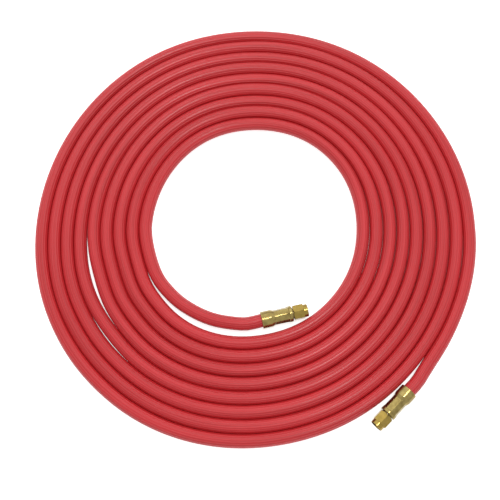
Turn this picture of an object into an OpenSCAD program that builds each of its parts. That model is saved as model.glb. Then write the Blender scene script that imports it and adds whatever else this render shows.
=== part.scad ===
// Coil of fuel gas hose with a crimped brass end fitting on each end.
// Units are millimetres and +Z is up. The coil lies flat on z = 0 and the
// origin is under the middle of its outline.

/* [Hose] */
// Outside diameter of the hose
hose_od = 10.9; // [10.2:0.1:11.5]
// How far two neighbouring turns press into each other
turn_squash = 0.15; // [0.05:0.05:0.3]

/* [Coil] */
// Centreline radius of the outermost turn over its first quarter
coil_r = 177; // [165:1:195]
// Shift of the arc centres that makes the coil slightly oval
coil_oval = 7; // [3:0.5:9]

/* [Ferrule] */
// Length of the whole ferrule
ferrule_l = 25.4; // [23:0.2:30]
// Length of the uncrimped bell at the hose side
bell_l = 8; // [5:0.5:10]
// Wall of the bell
bell_wall = 1.15; // [0.8:0.05:1.5]
// Gap all round between the hose and the bell
bell_gap = 0.35; // [0.2:0.05:0.6]
// How much the crimp squeezes the hose's diameter
crimp_squeeze = 1.4; // [0.8:0.1:2]
// Wall of the crimped stretch at its flats
crimp_wall = 0.95; // [0.7:0.05:1.2]
// How far the ridges between the flats stand up
ridge_h = 0.35; // [0.2:0.05:0.45]
// Length of the sloped step from bell to crimp
flare_l = 2.2; // [1:0.2:4]
// Length of the round lip at the front
lip_l = 2.9; // [1.5:0.1:4]
// How far the lip stands out over the ridges
lip_h = 0.5; // [0.2:0.1:0.8]
// Thickness of the front wall that the hose ends against
front_wall = 3.4; // [2:0.1:5]
// Number of crimp flats
flats = 8; // [6:1:10]

/* [Nipple] */
// Diameter of the shank that the nut turns on
shank_d = 6.6; // [6:0.1:7.2]
// Diameter over the barbs of the tail
barb_d = 5.6; // [5:0.1:6]
// Gas passage through the nipple
passage_d = 3; // [2:0.1:3.6]
// Diameter of the collar between ferrule and nut
collar_d = 9; // [7.6:0.1:10.4]
// Thickness of the collar
collar_l = 0.7; // [0.5:0.1:1.5]
// Depth of the tail's tip behind the bell's mouth
tail_in = 2; // [1:0.5:5]
// Length of the rounded seat inside the nut
seat_l = 2.9; // [2.2:0.1:3.5]

/* [Nut] */
// Width across the flats of the hexagon
nut_af = 11.1; // [10.9:0.1:12.5]
// Length of the hexagon
hex_l = 8.6; // [7.4:0.2:11]
// Length of the round nose
nose_l = 3.3; // [2:0.1:5]
// Wall of the nose outside the thread
nose_wall = 0.92; // [0.7:0.02:1.2]
// Bore of the internal thread at its crests
thread_d = 8.46; // [8.1:0.02:8.8]
// Thickness of the nut's back wall
back_wall = 2; // [1.5:0.1:3]
// Gap all round between the shank and the nut
swivel_clear = 0.06; // [0.03:0.01:0.1]
// Gap along the axis at each end of the back wall
end_play = 0.2; // [0.1:0.05:0.4]
// Gap between the inner nut's corner and the turn beside it
nut_gap = 0.45; // [0.2:0.05:1]

/* [Hidden] */

hose_r = hose_od / 2;
// A quarter of the turns' spacing, in whole hundredths so that arcs meet exactly
step = round(25 * (hose_od - turn_squash)) / 100;
pitch = 4 * step;
turns = 9;
bell_r = hose_r + bell_gap + bell_wall;
crimp_bore_r = (hose_od - crimp_squeeze) / 2;
flat_r = crimp_bore_r + crimp_wall;
ridge_r = flat_r + ridge_h;
lip_r = ridge_r + lip_h;
shank_r = shank_d / 2;
seat_r = thread_d / 2 - 0.23;
relief_r = thread_d / 2 + 0.37;
nose_r = thread_d / 2 + nose_wall;
corner_r = nut_af / 2 / cos(30);
press_clear = 0.02;
bore_clear = 0.05;
chamfer = 0.5;

// Stations along a fitting, counted from the bell's mouth
z_crimp = bell_l + flare_l;
z_lip = ferrule_l - lip_l;
z_stop = ferrule_l - front_wall;
z_collar = ferrule_l + collar_l;
z_nut = z_collar + end_play;
z_shoulder = z_nut + back_wall;
z_seat = z_shoulder + end_play;
z_relief = z_seat + seat_l + 0.1;
z_hex = z_nut + hex_l;
z_tip = z_hex + nose_l;

// The coil is a spiral of quarter circles, each drawn about one of four
// centres. Every quarter is step_a or step_b smaller than the one before.
step_a = step - coil_oval;
step_b = step + coil_oval;
mid = [-step_a / 2, -(step_a + pitch / 2) / 2];
centres = [mid, mid + [0, step_a], mid + [-step_b, step_a], mid + [-step_b, 0]];
smaller = [0, step_a, step_a + step_b, 2 * step_a + step_b];
function turn_r(q, n) = coil_r - smaller[q] - pitch * n;
function at(q, angle, r) = centres[q] + r * [cos(angle), sin(angle)];

// Free ends. Each row is an angle on the coil, an offset outwards from where
// the next turn would lie, and the share of the lift up to the fitting.
outer_route = [[355.5, 0.4, 0], [348, 0.6, 0], [340, 0.6, 0],
               [332, 0.6, 0.05], [324, 0.8, 0.5]];
inner_route = [[184, -0.4, 0], [199.5, -1.3, 0], [216.5, -1.2, 0],
               [233, -1.6, 0.05], [250.5, -3.4, 0.4], [261, -4.1, 0.8]];
// Where each fitting starts: angle and offset. Each leans away from the turn
// beside it, the inner one just enough for its nut's corner to clear that turn.
outer_fit = [312.8, 1.9];
inner_fit = [278.8, -5.9];
outer_lean = 1.7;
inner_start_r = turn_r(3, turns - 1) + inner_fit[1];
corner_reach = norm([z_hex, corner_r]);
corner_limit = turn_r(3, turns - 2) - hose_r - nut_gap;
inner_lean = atan2(corner_r, z_hex)
    + asin((pow(inner_start_r, 2) + pow(corner_reach, 2) - pow(corner_limit, 2))
           / (2 * inner_start_r * corner_reach));
lead = 12;

outer_dir = outer_fit[0] - 90 + outer_lean;
inner_dir = inner_fit[0] + 90 + inner_lean;
outer_mouth = at(3, outer_fit[0], turn_r(3, -1) + outer_fit[1]);
inner_mouth = at(3, inner_fit[0], inner_start_r);
lift = bell_r - hose_r;

function up(p, z) = [p[0], p[1], z];
function along(p, dir, d) = up(p + d * [cos(dir), sin(dir)], bell_r);

outer_path = concat(
    [up(at(0, 0, coil_r), hose_r)],
    [for (w = outer_route)
        up(at(3, w[0], turn_r(3, -1) + w[1]), hose_r + w[2] * lift)],
    [along(outer_mouth, outer_dir, -lead)]);
inner_path = concat(
    [up(at(1, 180, turn_r(1, turns - 1)), hose_r)],
    [for (w = inner_route)
        up(at(2, w[0], turn_r(2, turns - 1) + w[1]), hose_r + w[2] * lift)],
    [along(inner_mouth, inner_dir, -lead)]);

// Swept tube: one ring of points square to the path at every path point
sides = 12;
function unit(v) = v / norm(v);
function heading(path, i, first, last) =
    i == 0 ? first
    : i == len(path) - 1 ? last
    : unit(unit(path[i + 1] - path[i]) + unit(path[i] - path[i - 1]));
function ring(p, d, r) =
    let (s = unit(cross(d, [0, 0, 1])), u = cross(s, d))
    [for (k = [0 : sides - 1])
        let (a = (k + 0.5) * 360 / sides)
        p + r * (cos(a) * s + sin(a) * u)];
module tube(path, radii, first, last) {
    rings = [for (i = [0 : len(path) - 1])
        ring(path[i], heading(path, i, first, last), radii[i])];
    points = [for (one = rings) each one];
    count = len(path);
    walls = [for (i = [0 : count - 2]) for (k = [0 : sides - 1])
        let (j = (k + 1) % sides)
        each [[i * sides + k, i * sides + j, (i + 1) * sides + j],
              [i * sides + k, (i + 1) * sides + j, (i + 1) * sides + k]]];
    caps = [[for (k = [sides - 1 : -1 : 0]) k],
            [for (k = [0 : sides - 1]) (count - 1) * sides + k]];
    polyhedron(points, concat(walls, caps), convexity = 8);
}

// Stands a shape made along +Z on a fitting's axis
module on_axis(mouth, dir) {
    translate([mouth[0], mouth[1], bell_r])
        rotate([0, 0, dir])
            rotate([0, 90, 0])
                children();
}

// One quarter of the coil: a row of turns about the quarter's own centre
module coil_quarter(q, count) {
    translate([centres[q][0], centres[q][1], hose_r])
        rotate([0, 0, 90 * q])
            rotate_extrude(angle = 90, $fn = 180)
                for (n = [0 : count - 1])
                    translate([turn_r(q, n), 0])
                        circle(d = hose_od, $fn = 48);
}

module hose_coil() {
    color("indianred")
        union() {
            coil_quarter(0, turns);
            coil_quarter(1, turns);
            coil_quarter(2, turns - 1);
            coil_quarter(3, turns - 1);
        }
}

// Free end of the hose, squeezed inside the ferrule and opened by the barbs
module hose_end(path, mouth, dir) {
    whole = concat(path, [
        along(mouth, dir, 0),
        along(mouth, dir, bell_l - 0.8),
        along(mouth, dir, z_crimp - 0.4),
        along(mouth, dir, z_stop)]);
    radii = [for (i = [0 : len(whole) - 1])
        i < len(whole) - 2 ? hose_r : crimp_bore_r - bore_clear];
    difference() {
        tube(whole, radii, [0, -1, 0], [cos(dir), sin(dir), 0]);
        on_axis(mouth, dir)
            translate([0, 0, tail_in - 0.5])
                cylinder(d = barb_d + 2 * bore_clear, h = z_stop, $fn = 48);
    }
}

module hose_outer_end() {
    color("indianred") hose_end(outer_path, outer_mouth, outer_dir);
}

module hose_inner_end() {
    color("indianred") hose_end(inner_path, inner_mouth, inner_dir);
}

// Ferrule: a round bell, a crimped stretch with flats, and a round lip
module ferrule() {
    difference() {
        rotate_extrude($fn = 96)
            polygon([
                [hose_r + bell_gap, 0],
                [bell_r - chamfer, 0],
                [bell_r, chamfer],
                [bell_r, bell_l],
                [ridge_r, z_crimp],
                [ridge_r, z_lip - 1],
                [lip_r, z_lip],
                [lip_r, ferrule_l - chamfer],
                [lip_r - chamfer, ferrule_l],
                [shank_r + press_clear, ferrule_l],
                [shank_r + press_clear, z_stop],
                [crimp_bore_r, z_stop],
                [crimp_bore_r, z_crimp],
                [hose_r + bell_gap, bell_l - 0.4]]);
        for (k = [0 : flats - 1])
            rotate([0, 0, (k + 0.5) * 360 / flats])
                jaw_mark();
    }
}

// What one crimping jaw presses away: a long flat with sloped ends
module jaw_mark() {
    translate([0, 2.5, 0])
        rotate([90, 0, 0])
            linear_extrude(height = 5)
                polygon([
                    [flat_r, z_crimp + 0.5],
                    [flat_r, z_lip - 1.5],
                    [lip_r, z_lip - 0.3],
                    [bell_r + 1, z_lip - 0.3],
                    [bell_r + 1, z_crimp - 1.4],
                    [ridge_r + 0.2, z_crimp - 0.6]]);
}

// Nipple: barbed tail, collar, shank and the rounded seat inside the nut
module nipple() {
    tooth = (z_stop - tail_in - 4) / 4;
    root_r = barb_d / 2 - 0.4;
    rotate_extrude($fn = 96)
        polygon(concat(
            [[passage_d / 2, tail_in]],
            [for (k = [0 : 3]) each [
                [root_r, tail_in + k * tooth],
                [barb_d / 2, tail_in + (k + 0.8) * tooth],
                [barb_d / 2, tail_in + (k + 1) * tooth]]],
            [[root_r, tail_in + 4 * tooth],
             [root_r, z_stop],
             [shank_r, z_stop],
             [shank_r, ferrule_l],
             [collar_d / 2, ferrule_l],
             [collar_d / 2, z_collar],
             [shank_r, z_collar],
             [shank_r, z_seat],
             [seat_r, z_seat],
             [seat_r, z_seat + 0.9],
             [seat_r - 0.5, z_seat + 1.7],
             [seat_r - 1.4, z_seat + seat_l],
             [passage_d / 2, z_seat + seat_l]]));
}

// Swivel nut: hexagon with turned corners, round nose and threaded mouth
module nut() {
    difference() {
        union() {
            intersection() {
                translate([0, 0, z_nut])
                    linear_extrude(height = hex_l)
                        circle(r = corner_r, $fn = 6);
                rotate_extrude($fn = 96)
                    polygon([
                        [0, z_nut],
                        [nut_af / 2, z_nut],
                        [corner_r + 0.2, z_nut + 0.6],
                        [corner_r + 0.2, z_hex - 0.5],
                        [nut_af / 2 + 0.1, z_hex],
                        [0, z_hex]]);
            }
            rotate_extrude($fn = 96)
                polygon([
                    [0, z_nut + 1],
                    [nose_r, z_nut + 1],
                    [nose_r, z_tip - 0.4],
                    [nose_r - 0.4, z_tip],
                    [0, z_tip]]);
        }
        rotate_extrude($fn = 96)
            polygon([
                [0, z_nut - 1],
                [shank_r + swivel_clear, z_nut - 1],
                [shank_r + swivel_clear, z_shoulder],
                [relief_r, z_shoulder],
                [relief_r, z_relief],
                [thread_d / 2, z_relief + 0.2],
                [thread_d / 2, z_tip - 0.4],
                [thread_d / 2 + 0.3, z_tip],
                [thread_d / 2 + 0.3, z_tip + 1],
                [0, z_tip + 1]]);
    }
}

module outer_ferrule() {
    color("darkkhaki") on_axis(outer_mouth, outer_dir) ferrule();
}

module outer_nipple() {
    color("goldenrod") on_axis(outer_mouth, outer_dir) nipple();
}

module outer_nut() {
    color("gold") on_axis(outer_mouth, outer_dir) nut();
}

module inner_ferrule() {
    color("darkkhaki") on_axis(inner_mouth, inner_dir) ferrule();
}

module inner_nipple() {
    color("goldenrod") on_axis(inner_mouth, inner_dir) nipple();
}

module inner_nut() {
    color("gold") on_axis(inner_mouth, inner_dir) nut();
}

hose_coil();
hose_outer_end();
hose_inner_end();
outer_ferrule();
outer_nipple();
outer_nut();
inner_ferrule();
inner_nipple();
inner_nut();
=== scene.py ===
# Coil of red fuel gas hose, laid flat, with a crimped brass fitting on each end.
# Lengths are metres. Angles on the coil are degrees and headings are radians. The
# driving sizes are those of the solids.
from math import asin, atan2, cos, degrees, exp, hypot, pi, radians, sin

import bpy
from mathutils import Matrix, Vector


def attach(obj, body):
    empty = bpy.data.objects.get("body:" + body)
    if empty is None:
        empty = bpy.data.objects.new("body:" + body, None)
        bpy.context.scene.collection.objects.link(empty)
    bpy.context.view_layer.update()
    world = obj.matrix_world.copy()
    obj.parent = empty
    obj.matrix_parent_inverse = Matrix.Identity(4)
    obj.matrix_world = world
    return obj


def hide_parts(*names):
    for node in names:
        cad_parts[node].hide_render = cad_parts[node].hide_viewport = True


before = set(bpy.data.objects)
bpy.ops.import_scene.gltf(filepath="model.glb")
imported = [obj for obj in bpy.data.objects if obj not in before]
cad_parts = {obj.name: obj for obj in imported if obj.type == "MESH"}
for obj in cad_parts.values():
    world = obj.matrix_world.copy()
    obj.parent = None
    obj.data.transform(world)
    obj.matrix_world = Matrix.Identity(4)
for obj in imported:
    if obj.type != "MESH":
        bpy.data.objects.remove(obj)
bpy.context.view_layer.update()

scene = bpy.context.scene

# Gas hose: one extruded rubber hose, coiled nearly nine times and laid flat.
# The coil is a spiral of quarter circles about four centres, as in the solids,
# and each free end runs from it into the bell of its fitting.
hose_d = 0.0109
hose_r = hose_d / 2
turns = 9
quarter_step = 0.00269
turn_spacing = 4 * quarter_step
coil_r = 0.177
coil_oval = 0.007
step_a = quarter_step - coil_oval
step_b = quarter_step + coil_oval
centre_x = -step_a / 2
centre_y = -(step_a + turn_spacing / 2) / 2
centres = [Vector((centre_x, centre_y, 0)),
           Vector((centre_x, centre_y + step_a, 0)),
           Vector((centre_x - step_b, centre_y + step_a, 0)),
           Vector((centre_x - step_b, centre_y, 0))]
smaller = [0, step_a, step_a + step_b, 2 * step_a + step_b]
sideways = Vector((0, 1, 0))
upwards = Vector((0, 0, 1))


def turn_radius(quarter, turn):
    """The radius of a turn's middle line in one quarter of the coil."""
    return coil_r - smaller[quarter] - turn_spacing * turn


def on_quarter(quarter, angle, radius, height=0.0):
    """A point at an angle about a quarter's centre."""
    reach = Vector((cos(radians(angle)), sin(radians(angle)), 0)) * radius
    return centres[quarter] + reach + Vector((0, 0, height))


# Where each bell's mouth is, and the way its fitting points. The inner fitting
# leans in until its nut's corner clears the next turn by the nut gap.
bell_r = 0.00695
fitting_height = bell_r
nut_start = 0.0263
nut_across = 0.0111
nut_corner_r = nut_across / 2 / cos(radians(30))
nut_gap = 0.00045
hexagon_length = 0.0086
hex_end = nut_start + hexagon_length

outer_angle = 312.8
outer_lift = 0.0019
outer_lean = 1.7
outer_mouth = on_quarter(3, outer_angle, turn_radius(3, -1) + outer_lift, fitting_height)
outer_heading = radians(outer_angle - 90 + outer_lean)

inner_angle = 278.8
inner_sink = 0.0059
inner_start_r = turn_radius(3, turns - 1) - inner_sink
inner_mouth = on_quarter(3, inner_angle, inner_start_r, fitting_height)
corner_reach = hypot(hex_end, nut_corner_r)
corner_limit = turn_radius(3, turns - 2) - hose_r - nut_gap
inner_lean = atan2(nut_corner_r, hex_end) + asin(
    (inner_start_r ** 2 + corner_reach ** 2 - corner_limit ** 2) / (2 * inner_start_r * corner_reach))
inner_heading = radians(inner_angle + 90) + inner_lean


def along(mouth, heading, depth):
    """A point on a fitting's axis, this far from its bell's mouth."""
    return mouth + depth * Vector((cos(heading), sin(heading), 0))


# Free ends: an angle on the coil, an offset outwards, and the share of the rise to the fitting
outer_route = [(355.5, 0.0004, 0), (348, 0.0006, 0), (340, 0.0006, 0),
               (332, 0.0006, 0.05), (324, 0.0008, 0.5)]
inner_route = [(184, -0.0004, 0), (199.5, -0.0013, 0), (216.5, -0.0012, 0),
               (233, -0.0016, 0.05), (250.5, -0.0034, 0.4), (261, -0.0041, 0.8)]
rise = fitting_height - hose_r
lead = 0.012
ring_spacing = 0.005


def smooth_line(points, first_way, last_way):
    """Points every ring spacing along one smooth curve through the given points."""
    spans = [(b - a).length for a, b in zip(points, points[1:])]
    ways = [first_way]
    for i in range(1, len(points) - 1):
        before = (points[i] - points[i - 1]) / spans[i - 1]
        after = (points[i + 1] - points[i]) / spans[i]
        ways.append((before * spans[i] + after * spans[i - 1]) / (spans[i] + spans[i - 1]))
    ways.append(last_way)
    line = []
    for i, span in enumerate(spans):
        pieces = max(1, round(span / ring_spacing))
        for k in range(pieces):
            t = k / pieces
            line.append((2 * t ** 3 - 3 * t ** 2 + 1) * points[i]
                        + (t ** 3 - 2 * t ** 2 + t) * span * ways[i]
                        + (3 * t ** 2 - 2 * t ** 3) * points[i + 1]
                        + (t ** 3 - t ** 2) * span * ways[i + 1])
    line.append(points[-1])
    return line


def free_end_points(quarter, turn, free_route):
    """The points that a free end runs through between the coil and its fitting."""
    return [on_quarter(quarter, angle, turn_radius(quarter, turn) + offset, hose_r + share * rise)
            for angle, offset, share in free_route]


outer_way = Vector((cos(outer_heading), sin(outer_heading), 0))
inner_way = Vector((cos(inner_heading), sin(inner_heading), 0))
outer_points = ([outer_mouth, along(outer_mouth, outer_heading, -lead)]
                + free_end_points(3, -1, reversed(outer_route))
                + [on_quarter(0, 0, coil_r, hose_r)])
inner_points = ([on_quarter(1, 180, turn_radius(1, turns - 1), hose_r)]
                + free_end_points(2, turns - 1, inner_route)
                + [along(inner_mouth, inner_heading, -lead), inner_mouth])

# No coil lies perfectly true. All turns wander a little together, they lie
# looser on the right, two narrow gaps open on the left, and at the back some
# turns ride up on their neighbours. Each place is an angle and how far it reaches.
oval_wander = 0.0010
oval_angle = 75
lobe_wander = 0.0007
lobe_angle = 105
true_front = (297, 18)
flat_back = (90, 24)
flat_back_pull = 0.0016
loose_right = (0, 28)
loose_right_gap = 0.0005
loose_right_step = 0.00034
upper_gap = (199, 12)
upper_gap_turn = 3
upper_gap_pull = 0.0019
upper_gap_push = 0.00015
lower_gap = (220, 8)
lower_gap_turn = 2
lower_gap_pull = 0.0004
lower_gap_push = 0.0003
lower_left = (222, 16)
lower_left_pull = 0.0008
outer_close = (331, 16)
outer_close_pull = 0.0007
outer_close_end = (320.5, 4)
outer_close_end_pull = 0.0006
inner_touch = (200, 13)
inner_touch_push = 0.0014
inner_leave = (239, 16)
inner_leave_pull = 0.0021
high_back = (92, 38)
ride_up = {1: 0.0005, 3: 0.0008, 5: 0.0017, 7: 0.0012}
outer_fade = (314.5, 318.5)
inner_fade = (262, 232)


def near(angle, place):
    """1 at the middle of a place on the coil, and less away from it."""
    middle, width = place
    away = (angle - middle + 180) % 360 - 180
    return exp(-(away / width) ** 2)


def lie(turn, angle):
    """How far a turn lies outside its arc, and above the table, at an angle."""
    out = oval_wander * cos(radians(2 * (angle - oval_angle)))
    out += lobe_wander * cos(radians(3 * (angle - lobe_angle)))
    out *= 1 - near(angle, true_front)
    out -= flat_back_pull * near(angle, flat_back)
    turns_in = max(0.0, turn - 1 + angle / 360)
    out += near(angle, loose_right) * (loose_right_gap - loose_right_step * turns_in)
    out += near(angle, upper_gap) * (-upper_gap_pull if turn > upper_gap_turn else upper_gap_push * turn)
    out += near(angle, lower_gap) * (-lower_gap_pull if turn > lower_gap_turn else lower_gap_push)
    out -= lower_left_pull * near(angle, lower_left)
    if turn < 0:
        out -= (outer_close_pull * near(angle, outer_close)
                + outer_close_end_pull * near(angle, outer_close_end))
    if turn == turns - 1:
        out += inner_touch_push * near(angle, inner_touch) - inner_leave_pull * near(angle, inner_leave)
    return out, near(angle, high_back) * ride_up.get(turn, 0.0)


def settle(line, quarter, turn, fade):
    """Shifts a free end as its turn lies. The shift fades out towards the fitting, from the
    second angle of the fade to the first."""
    fixed, free = fade
    for i, point in enumerate(line):
        spoke = point - centres[quarter]
        angle = degrees(atan2(spoke.y, spoke.x)) % 360
        angle = angle or 360.0
        share = min(1.0, max(0.0, (angle - fixed) / (free - fixed)))
        share = share * share * (3 - 2 * share)
        out, up = lie(turn, angle)
        flat = Vector((spoke.x, spoke.y, 0)).normalized()
        line[i] = point + share * (out * flat + Vector((0, 0, up)))
    return line


outer_end = settle(smooth_line(outer_points, -outer_way, sideways), 3, -1, outer_fade)
inner_end = settle(smooth_line(inner_points, -sideways, inner_way), 2, turns - 1, inner_fade)
coil = []
for turn in range(turns):
    for quarter in range(4 if turn < turns - 1 else 2):
        radius = turn_radius(quarter, turn)
        pieces = round(radius * pi / 2 / ring_spacing)
        for k in range(pieces):
            angle = 90 * (quarter + k / pieces)
            out, up = lie(turn, angle)
            coil.append(on_quarter(quarter, angle, radius + out, hose_r + up))

# The hose ends at a stop inside each ferrule, where three rings lie under the crimp
stop_depth = 0.0220
crimped_depths = (stop_depth, 0.0155, 0.0098)
loose_depth = 0.0072
in_outer = [along(outer_mouth, outer_heading, depth) for depth in crimped_depths + (loose_depth,)]
in_inner = [along(inner_mouth, inner_heading, depth) for depth in (loose_depth,) + crimped_depths[::-1]]
route = in_outer + outer_end[:-1] + coil + inner_end + in_inner

# The hose's skin: rings of points along the route. Inside a ferrule the crimp
# squeezes it, and its end is bored where the nipple's tail goes in.
hose_sides = 32
squeezed_r = 0.0047
tail_bore_r = 0.00285
tail_bore_end = 0.0015


def hose_skin(name, line):
    """The hose's surface along its middle line, and its length."""
    count = len(line)
    ways = [(line[min(i + 1, count - 1)] - line[max(i - 1, 0)]).normalized() for i in range(count)]
    crimped = [squeezed_r] * len(crimped_depths)
    radii = crimped + [hose_r] * (count - 2 * len(crimped)) + crimped
    lengths = [0.0]
    for a, b in zip(line, line[1:]):
        lengths.append(lengths[-1] + (b - a).length)
    bore_depth = stop_depth - tail_bore_end
    first_bore = [(line[0] + ways[0] * bore_depth, ways[0], tail_bore_r, bore_depth),
                  (line[0], ways[0], tail_bore_r, 0.0)]
    last_bore = [(line[-1], ways[-1], tail_bore_r, lengths[-1]),
                 (line[-1] - ways[-1] * bore_depth, ways[-1], tail_bore_r, lengths[-1] - bore_depth)]
    rings = first_bore + list(zip(line, ways, radii, lengths)) + last_bore
    points = []
    for centre, way, radius, _ in rings:
        side = way.cross(upwards).normalized()
        up = side.cross(way)
        for k in range(hose_sides):
            turn = 2 * pi * k / hose_sides
            points.append(centre + radius * (sin(turn) * side - cos(turn) * up))
    faces = [tuple(range(hose_sides))]
    marks = [[(k / hose_sides, 0.0) for k in range(hose_sides)]]
    for i in range(len(rings) - 1):
        here, there = rings[i][3], rings[i + 1][3]
        low, high = i * hose_sides, (i + 1) * hose_sides
        for k in range(hose_sides):
            j = (k + 1) % hose_sides
            u0, u1 = k / hose_sides, (k + 1) / hose_sides
            faces.append((low + k, high + k, high + j, low + j))
            marks.append([(u0, here), (u0, there), (u1, there), (u1, here)])
    last = (len(rings) - 1) * hose_sides
    faces.append(tuple(range(last + hose_sides - 1, last - 1, -1)))
    marks.append([(k / hose_sides, 0.0) for k in range(hose_sides - 1, -1, -1)])
    skin = bpy.data.meshes.new(name)
    skin.from_pydata(points, [], faces)
    spread = skin.uv_layers.new(name="UVMap")
    spread.data.foreach_set("uv", [value for face in marks for mark in face for value in mark])
    skin.polygons.foreach_set("use_smooth", [True] * len(faces))
    skin.update()
    piece = bpy.data.objects.new(name, skin)
    scene.collection.objects.link(piece)
    return piece, lengths[-1]


hose, hose_length = hose_skin("gas_hose", route)


def linear(hex_colour):
    """A colour for a shader from its sRGB hex value."""
    parts = [int(hex_colour[i:i + 2], 16) / 255 for i in (1, 3, 5)]
    return [p / 12.92 if p <= 0.04045 else ((p + 0.055) / 1.055) ** 2.4 for p in parts] + [1.0]


def add(material, kind, settings=None, **links):
    """Adds a node with its settings, and links its named inputs to other nodes' outputs."""
    made = material.node_tree.nodes.new(kind)
    for name, value in (settings or {}).items():
        if isinstance(name, int) or name in made.inputs:
            made.inputs[name].default_value = value
        else:
            setattr(made, name, value)
    for name, output in links.items():
        spot = int(name[1:]) if name[0] == "i" and name[1:].isdigit() else name.replace("_", " ")
        material.node_tree.links.new(output, made.inputs[spot])
    return made


def blank(name):
    """A new material without nodes."""
    material = bpy.data.materials.new(name)
    material.use_nodes = True
    material.node_tree.nodes.clear()
    return material


# EPDM rubber, extruded with fine lengthwise ribs: a satin red with a painted
# highlight on the ribs, where the colour is a little paler, and painted shade
# between them, where it is darker. The real ribs are about 0.8 mm apart, and
# are drawn 1.7 mm apart so that they show.
rib_count = 20
rib_sharpness = 6.0
rib_height = 0.00018
# How far the ribs shift the colour: a painted highlight on them and painted shade between them.
rib_highlight_and_shade = 0.30
streak_stretch = (9.0, 6.0, 1.0)
grains_per_metre = 1800.0
grain_height = 0.00005

rubber = blank("extruded_epdm_rubber")
spread = add(rubber, "ShaderNodeUVMap", {"uv_map": "UVMap"}).outputs["UV"]
parts = add(rubber, "ShaderNodeSeparateXYZ", Vector=spread).outputs
around = add(rubber, "ShaderNodeMath", {"operation": "MULTIPLY", 1: pi * rib_count},
             i0=parts["X"]).outputs[0]
wave = add(rubber, "ShaderNodeMath", {"operation": "SINE"}, i0=around).outputs[0]
ridges = add(rubber, "ShaderNodeMath", {"operation": "ABSOLUTE"}, i0=wave).outputs[0]
ribs = add(rubber, "ShaderNodeMath", {"operation": "POWER", 1: rib_sharpness}, i0=ridges).outputs[0]
stretch = add(rubber, "ShaderNodeMapping", {"Scale": streak_stretch}, Vector=spread).outputs[0]
streaks = add(rubber, "ShaderNodeTexNoise", {"Scale": 1.0, "Detail": 3.0}, Vector=stretch).outputs[0]
place = add(rubber, "ShaderNodeTexCoord").outputs["Object"]
grain = add(rubber, "ShaderNodeTexNoise", {"Scale": grains_per_metre, "Detail": 2.0},
            Vector=place).outputs[0]
streaks_and_rib_shading = add(rubber, "ShaderNodeMath", {"operation": "MULTIPLY_ADD", 1: rib_highlight_and_shade},
           i0=ribs, i2=streaks).outputs[0]
# The colour: painted shade between the ribs, a painted highlight on them, and streaks of tone at random.
reds_with_rib_shading = add(rubber, "ShaderNodeValToRGB", Fac=streaks_and_rib_shading)
painted_shade_between_ribs, painted_highlight_on_ribs = reds_with_rib_shading.color_ramp.elements
painted_shade_between_ribs.position = 0.25
painted_shade_between_ribs.color = linear("#ac1c20")
painted_highlight_on_ribs.position = 0.8
painted_highlight_on_ribs.color = linear("#d23238")
sheen = add(rubber, "ShaderNodeMapRange", {"To Min": 0.27, "To Max": 0.38}, Value=streaks).outputs[0]
rib_bump = add(rubber, "ShaderNodeBump", {"Strength": 1.0, "Distance": rib_height}, Height=ribs).outputs[0]
grain_bump = add(rubber, "ShaderNodeBump", {"Strength": 0.08, "Distance": grain_height},
                 Height=grain, Normal=rib_bump).outputs[0]
shader = add(rubber, "ShaderNodeBsdfPrincipled",
             {"IOR": 1.45, "Specular IOR Level": 0.4, "Coat Weight": 0.08, "Coat Roughness": 0.15},
             Base_Color=reds_with_rib_shading.outputs[0], Roughness=sheen, Normal=grain_bump)
add(rubber, "ShaderNodeOutputMaterial", Surface=shader.outputs[0])
hose.data.materials.append(rubber)

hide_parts("hose_coil", "hose_outer_end", "hose_inner_end")
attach(hose, "hose")


# Ferrules: drawn brass sleeves, slid over the hose's ends and crimped there by
# eight jaws. Each has a round bell at the hose side, a waist with eight long
# flats, and a rounded lip at the front.
round_sides = 96
ferrule_length = 0.0254
bell_length = 0.008
bell_bore_r = hose_r + 0.00035
bell_edge = 0.0004
bell_edge_mid = 0.00012
bell_shoulder = 0.0003
bell_floor = 0.0004
waist_start = 0.0102
waist_r = 0.00600
waist_blend = 0.0004
waist_blend_r = 0.00025
waist_swell_r = 0.00005
waist_even = 0.0016
lip_start = 0.0228
lip_r = 0.00655
lip_rise = 0.002
lip_rise_r = 0.00012
lip_shoulder = 0.0002
lip_shoulder_r = 0.00015
lip_even = 0.0004
lip_edge = 0.0006
lip_edge_mid = 0.00016
crimp_bore_r = 0.00475
shank_r = 0.0033
shank_bore_r = shank_r + 0.00002
jaw_count = 8
jaw_flat_r = 0.00566
jaw_width = 0.0050
jaw_depth = 0.002
jaw_length = 0.0126
jaw_middle = 0.0166
jaw_edge = 0.0007
ferrule_edge = 0.00006


def pick(piece):
    """Selects one piece alone and makes it active."""
    bpy.ops.object.select_all(action="DESELECT")
    bpy.context.view_layer.objects.active = piece
    piece.select_set(True)


def start_point(name, place):
    """Starts a piece as a single point in edit mode."""
    bpy.ops.object.select_all(action="DESELECT")
    bpy.ops.mesh.primitive_plane_add(size=0.001)
    piece = bpy.context.object
    piece.name = name
    bpy.ops.object.mode_set(mode="EDIT")
    bpy.ops.mesh.select_mode(type="VERT")
    bpy.ops.mesh.select_all(action="SELECT")
    bpy.ops.mesh.merge(type="CENTER")
    bpy.ops.transform.translate(value=place)
    return piece


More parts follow.
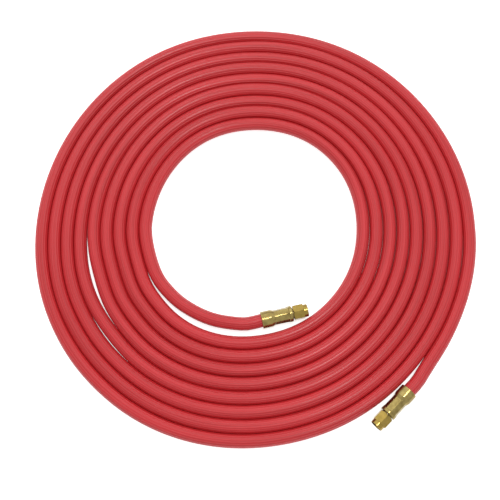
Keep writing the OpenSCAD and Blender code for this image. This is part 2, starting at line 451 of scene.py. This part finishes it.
def lathe(name, outline):
    """Turns a piece about Z: an outline of (radius, height) points is extruded point by point and spun."""
    piece = start_point(name, (outline[0][0], 0, outline[0][1]))
    for (r0, z0), (r1, z1) in zip(outline, outline[1:] + outline[:1]):
        bpy.ops.mesh.extrude_region_move(TRANSFORM_OT_translate={"value": (r1 - r0, 0, z1 - z0)})
    bpy.ops.mesh.select_all(action="SELECT")
    bpy.ops.mesh.remove_doubles(threshold=1e-7)
    bpy.ops.mesh.spin(steps=round_sides, angle=2 * pi, center=(0, 0, 0), axis=(0, 0, 1))
    bpy.ops.mesh.select_all(action="SELECT")
    bpy.ops.mesh.remove_doubles(threshold=1e-7)
    bpy.ops.mesh.normals_make_consistent(inside=False)
    bpy.ops.object.mode_set(mode="OBJECT")
    return piece


def combine(piece, tool, operation):
    """Joins, cuts or intersects a piece with a tool, and removes the tool."""
    pick(piece)
    bpy.ops.object.modifier_add(type="BOOLEAN")
    work = piece.modifiers[-1]
    work.operation = operation
    work.solver = "EXACT"
    work.object = tool
    bpy.ops.object.modifier_apply(modifier=work.name)
    bpy.data.objects.remove(tool)


def soften(piece, width):
    """Breaks the sharp edges, as deburring and handling do."""
    pick(piece)
    bpy.ops.object.modifier_add(type="BEVEL")
    work = piece.modifiers[-1]
    work.width = width
    work.segments = 2
    work.limit_method = "ANGLE"
    work.angle_limit = radians(22)
    bpy.ops.object.modifier_apply(modifier=work.name)
    bpy.ops.object.shade_smooth_by_angle(angle=radians(50))
    bpy.ops.object.modifier_add(type="WEIGHTED_NORMAL")
    work = piece.modifiers[-1]
    work.keep_sharp = True
    bpy.ops.object.modifier_apply(modifier=work.name)


def fit(piece, mouth, heading, name):
    """Copies a piece made along Z onto a fitting's axis, with its place in its mesh."""
    copy = piece.copy()
    copy.data = piece.data.copy()
    copy.name = name
    copy.data.name = name
    scene.collection.objects.link(copy)
    pick(copy)
    copy.rotation_euler = (0, radians(90), heading)
    copy.location = mouth
    bpy.ops.object.transform_apply(location=True, rotation=True, scale=True)
    return copy


fittings = {"outer": (outer_mouth, outer_heading), "inner": (inner_mouth, inner_heading)}

bell_outline = [
    (bell_bore_r, 0.0),
    (bell_r - bell_edge, 0.0),
    (bell_r - bell_edge_mid, bell_edge_mid),
    (bell_r, bell_edge),
    (bell_r, bell_length - bell_shoulder),
    (bell_r - bell_edge_mid, bell_length + bell_shoulder)]
waist_outline = [
    (waist_r + waist_blend_r, waist_start - waist_blend),
    (waist_r + waist_swell_r, waist_start + waist_blend),
    (waist_r, waist_start + waist_even)]
lip_outline = [
    (waist_r + lip_rise_r, lip_start - lip_rise),
    (lip_r - lip_shoulder_r, lip_start - lip_shoulder),
    (lip_r, lip_start + lip_even),
    (lip_r, ferrule_length - lip_edge),
    (lip_r - lip_edge_mid, ferrule_length - lip_edge_mid),
    (lip_r - lip_edge, ferrule_length)]
inside_outline = [
    (shank_bore_r, ferrule_length),
    (shank_bore_r, stop_depth),
    (crimp_bore_r, stop_depth),
    (crimp_bore_r, waist_start),
    (bell_bore_r, bell_length - bell_floor)]
sleeve = lathe("ferrule", bell_outline + waist_outline + lip_outline + inside_outline)
for jaw in range(jaw_count):
    turn = 2 * pi * (jaw + 0.5) / jaw_count
    reach = jaw_flat_r + jaw_depth / 2
    bpy.ops.object.select_all(action="DESELECT")
    bpy.ops.mesh.primitive_cube_add(size=1, location=(reach * cos(turn), reach * sin(turn), jaw_middle),
                                    rotation=(0, 0, turn), scale=(jaw_depth, jaw_width, jaw_length))
    block = bpy.context.object
    bpy.ops.object.mode_set(mode="EDIT")
    bpy.ops.mesh.select_all(action="SELECT")
    bpy.ops.mesh.bevel(offset=jaw_edge, offset_type="OFFSET", segments=3, affect="EDGES")
    bpy.ops.object.mode_set(mode="OBJECT")
    combine(sleeve, block, "DIFFERENCE")
soften(sleeve, ferrule_edge)


# Brass: a copper and zinc alloy, here with a thin brown-green film and a trace
# of oil, which gives pale highlights. Its film is cloudy over a few millimetres,
# and handling leaves marks of under half a millimetre.
clouds_per_metre = 260.0
marks_per_metre = 2600.0
mark_depth = 0.00004


def brass(name, dark, pale, roughness):
    """A brass whose film runs from dark to pale."""
    material = blank(name)
    place = add(material, "ShaderNodeTexCoord").outputs["Object"]
    cloud = add(material, "ShaderNodeTexNoise", {"Scale": clouds_per_metre, "Detail": 4.0},
                Vector=place).outputs[0]
    marks = add(material, "ShaderNodeTexNoise", {"Scale": marks_per_metre, "Detail": 2.0},
                Vector=place).outputs[0]
    film = add(material, "ShaderNodeValToRGB", Fac=cloud)
    thick_film, thin_film = film.color_ramp.elements
    thick_film.position = 0.3
    thick_film.color = linear(dark)
    thin_film.position = 0.7
    thin_film.color = linear(pale)
    polish = add(material, "ShaderNodeMapRange", {"To Min": roughness - 0.06, "To Max": roughness + 0.08},
                 Value=marks).outputs[0]
    dents = add(material, "ShaderNodeBump", {"Strength": 0.25, "Distance": mark_depth},
                Height=marks).outputs[0]
    shader = add(material, "ShaderNodeBsdfPrincipled",
                 {"Metallic": 1.0, "Coat Weight": 0.3, "Coat Roughness": 0.12},
                 Base_Color=film.outputs[0], Roughness=polish, Normal=dents)
    add(material, "ShaderNodeOutputMaterial", Surface=shader.outputs[0])
    return material


drawn_brass = brass("drawn_brass", "#7b6938", "#9b8950", 0.24)
for side, (mouth, heading) in fittings.items():
    ferrule = fit(sleeve, mouth, heading, side + "_crimped_ferrule")
    ferrule.data.materials.append(drawn_brass)
    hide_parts(side + "_ferrule")
    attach(ferrule, "hose")
bpy.data.objects.remove(sleeve)

# Nipples: turned brass tails with a collar, pressed into the hose and mostly
# hidden in it and in the nut. The solids' own shape stays, with a turned finish.
turned_brass = brass("turned_brass", "#6f5c30", "#857040", 0.3)
for side in fittings:
    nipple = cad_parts[side + "_nipple"]
    nipple.data.materials.clear()
    nipple.data.materials.append(turned_brass)

# Nuts: swivel nuts machined from hexagonal brass bar, held on the nipple's
# shank by their back wall. Both ends of the hexagon are turned to a chamfer,
# and the mouth has a left-hand fuel gas thread of 24 turns to the inch.
back_chamfer = 0.00062
front_chamfer = 0.00052
chamfer_face = 0.0001
chamfer_reach = 0.0002
nose_length = 0.0033
nose_r = 0.00515
nose_edge = 0.0004
nose_edge_mid = 0.00012
nose_root = 0.001
back_wall = 0.002
swivel_gap = 0.00006
bore_past = 0.001
mouth_past = 0.0002
nut_edge = 0.00008
nut_tip = nut_start + hexagon_length + nose_length
thread_crest_r = 0.00423
thread_pitch = 0.0254 / 24
thread_depth = 0.5 * thread_pitch
thread_root_r = thread_crest_r + thread_depth
thread_seat_r = thread_root_r + 0.00004
thread_top = nut_tip - 0.0004
thread_turns = 5
thread_steps = 48
thread_backing = 0.0001
flank, crest, root = 0.4, 0.15, 0.05

bpy.ops.object.select_all(action="DESELECT")
bpy.ops.mesh.primitive_cylinder_add(vertices=6, radius=nut_corner_r, depth=hexagon_length,
                                    location=(0, 0, nut_start + hexagon_length / 2),
                                    rotation=(0, 0, radians(30)))
bar = bpy.context.object
bar.name = "swivel_nut"
bpy.ops.object.transform_apply(location=True, rotation=True, scale=True)
chamfer_outline = [
    (0.0, nut_start - chamfer_face),
    (nut_across / 2 - chamfer_face, nut_start - chamfer_face),
    (nut_corner_r + chamfer_reach, nut_start + back_chamfer),
    (nut_corner_r + chamfer_reach, hex_end - front_chamfer),
    (nut_across / 2, hex_end + chamfer_face),
    (0.0, hex_end + chamfer_face)]
combine(bar, lathe("chamfers", chamfer_outline), "INTERSECT")
nose_outline = [
    (0.0, nut_start + nose_root),
    (nose_r, nut_start + nose_root),
    (nose_r, nut_tip - nose_edge),
    (nose_r - nose_edge_mid, nut_tip - nose_edge_mid),
    (nose_r - nose_edge, nut_tip),
    (0.0, nut_tip)]
combine(bar, lathe("nose", nose_outline), "UNION")
bore_outline = [
    (0.0, nut_start - bore_past),
    (shank_r + swivel_gap, nut_start - bore_past),
    (shank_r + swivel_gap, nut_start + back_wall),
    (thread_seat_r, nut_start + back_wall),
    (thread_seat_r, nut_tip + mouth_past),
    (0.0, nut_tip + mouth_past)]
combine(bar, lathe("bore", bore_outline), "DIFFERENCE")
soften(bar, nut_edge)

# The thread: one tooth's outline at the mouth, screwed down the bore and given a back
thread = start_point("thread", (thread_root_r, 0, thread_top - thread_pitch))
for out, up in ((-thread_depth, flank), (0.0, crest), (thread_depth, flank), (0.0, root)):
    bpy.ops.mesh.extrude_region_move(TRANSFORM_OT_translate={"value": (out, 0, up * thread_pitch)})
bpy.ops.mesh.select_all(action="SELECT")
bpy.ops.mesh.screw(steps=thread_steps, turns=thread_turns, center=(0, 0, 0), axis=(0, 0, 1))
bpy.ops.mesh.select_all(action="SELECT")
bpy.ops.mesh.remove_doubles(threshold=1e-6)
bpy.ops.mesh.normals_make_consistent(inside=True)
bpy.ops.object.mode_set(mode="OBJECT")
bpy.ops.object.modifier_add(type="SOLIDIFY")
thread.modifiers[-1].thickness = thread_backing
thread.modifiers[-1].offset = -1
bpy.ops.object.modifier_apply(modifier=thread.modifiers[-1].name)
bpy.ops.object.shade_smooth_by_angle(angle=radians(25))
bar.select_set(True)
bpy.context.view_layer.objects.active = bar
bpy.ops.object.join()

bar_brass = brass("machined_bar_brass", "#86702f", "#9b823d", 0.22)
for side, (mouth, heading) in fittings.items():
    nut = fit(bar, mouth, heading, side + "_swivel_nut")
    nut.data.materials.append(bar_brass)
    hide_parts(side + "_nut")
    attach(nut, side + "_nut")
bpy.data.objects.remove(bar)

# The hose's ends: it starts at its stop in the outer ferrule and ends in the
# inner one. The ferrule, nipple and nut on each end are gathered in a list.
end_pieces = [bpy.data.objects[side + part] for side in fittings
              for part in ("_crimped_ferrule", "_swivel_nut")]
end_pieces += [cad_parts[side + "_nipple"] for side in fittings]

# Floor: a plain table top, covered with matt white paper. It shows as white
# where no shadow falls on it.
floor_size = 8
bpy.ops.object.select_all(action="DESELECT")
bpy.ops.mesh.primitive_plane_add(size=floor_size, location=(0, 0, 0))
floor = bpy.context.object
floor.name = "floor"


def seen(holder):
    """1 where a ray comes from the camera, off a glossy surface or through glass."""
    ray = add(holder, "ShaderNodeLightPath").outputs
    plain = add(holder, "ShaderNodeMath", {"operation": "MAXIMUM"},
                i0=ray["Is Camera Ray"], i1=ray["Is Glossy Ray"]).outputs[0]
    return add(holder, "ShaderNodeMath", {"operation": "MAXIMUM"},
               i0=plain, i1=ray["Is Transmission Ray"]).outputs[0]


paper = blank("matt_white_paper")
white = add(paper, "ShaderNodeBsdfDiffuse", {"Color": linear("#f4f4f4")}).outputs[0]
glow = add(paper, "ShaderNodeEmission", {"Strength": 0.74}).outputs[0]
both = add(paper, "ShaderNodeAddShader", None, i0=white, i1=glow).outputs[0]
look = add(paper, "ShaderNodeMixShader", None, i0=seen(paper), i1=white, i2=both).outputs[0]
add(paper, "ShaderNodeOutputMaterial", Surface=look)
floor.data.materials.append(paper)

# Light: a large soft box behind and above the coil, a small lamp over it that
# draws the narrow highlights, and a white room all round.
world = bpy.data.worlds.new("white_room")
world.use_nodes = True
world.node_tree.nodes.clear()
scene.world = world
room = add(world, "ShaderNodeBackground", {"Color": linear("#ffffff"), "Strength": 0.62}).outputs[0]
backdrop = add(world, "ShaderNodeBackground", {"Color": linear("#ffffff"), "Strength": 1.0}).outputs[0]
both = add(world, "ShaderNodeMixShader", None, i0=seen(world), i1=room, i2=backdrop).outputs[0]
add(world, "ShaderNodeOutputWorld", Surface=both)


def soft_box(name, place, size, power):
    """Hangs a rectangular lamp that faces the middle of the coil."""
    lamp = bpy.data.lights.new(name, "AREA")
    lamp.shape = "RECTANGLE"
    lamp.size, lamp.size_y = size
    lamp.energy = power
    holder = bpy.data.objects.new(name, lamp)
    scene.collection.objects.link(holder)
    holder.location = place
    holder.rotation_euler = (Vector((0, 0, 0)) - Vector(place)).to_track_quat("-Z", "Y").to_euler()


soft_box("soft_box_back", place=(-0.2, 1.15, 1.25), size=(3.2, 2.0), power=16.0)
soft_box("small_box_above", place=(0.15, 0.07, 1.30), size=(0.1, 0.1), power=3.2)

# Camera: stands in front of the coil and well above it, as for a catalogue
# picture, and looks down at the coil's near half.
aim = Vector((-0.0040, -0.02435, 0.0055))
stand = Vector((-0.0040, -0.16385, 0.5262))
eye = bpy.data.cameras.new("camera")
eye.lens = 46.7
eye.sensor_width = 36
camera = bpy.data.objects.new("camera", eye)
scene.collection.objects.link(camera)
camera.location = stand
camera.rotation_euler = (aim - stand).to_track_quat("-Z", "Y").to_euler()
scene.camera = camera
scene.view_settings.view_transform = "Standard"
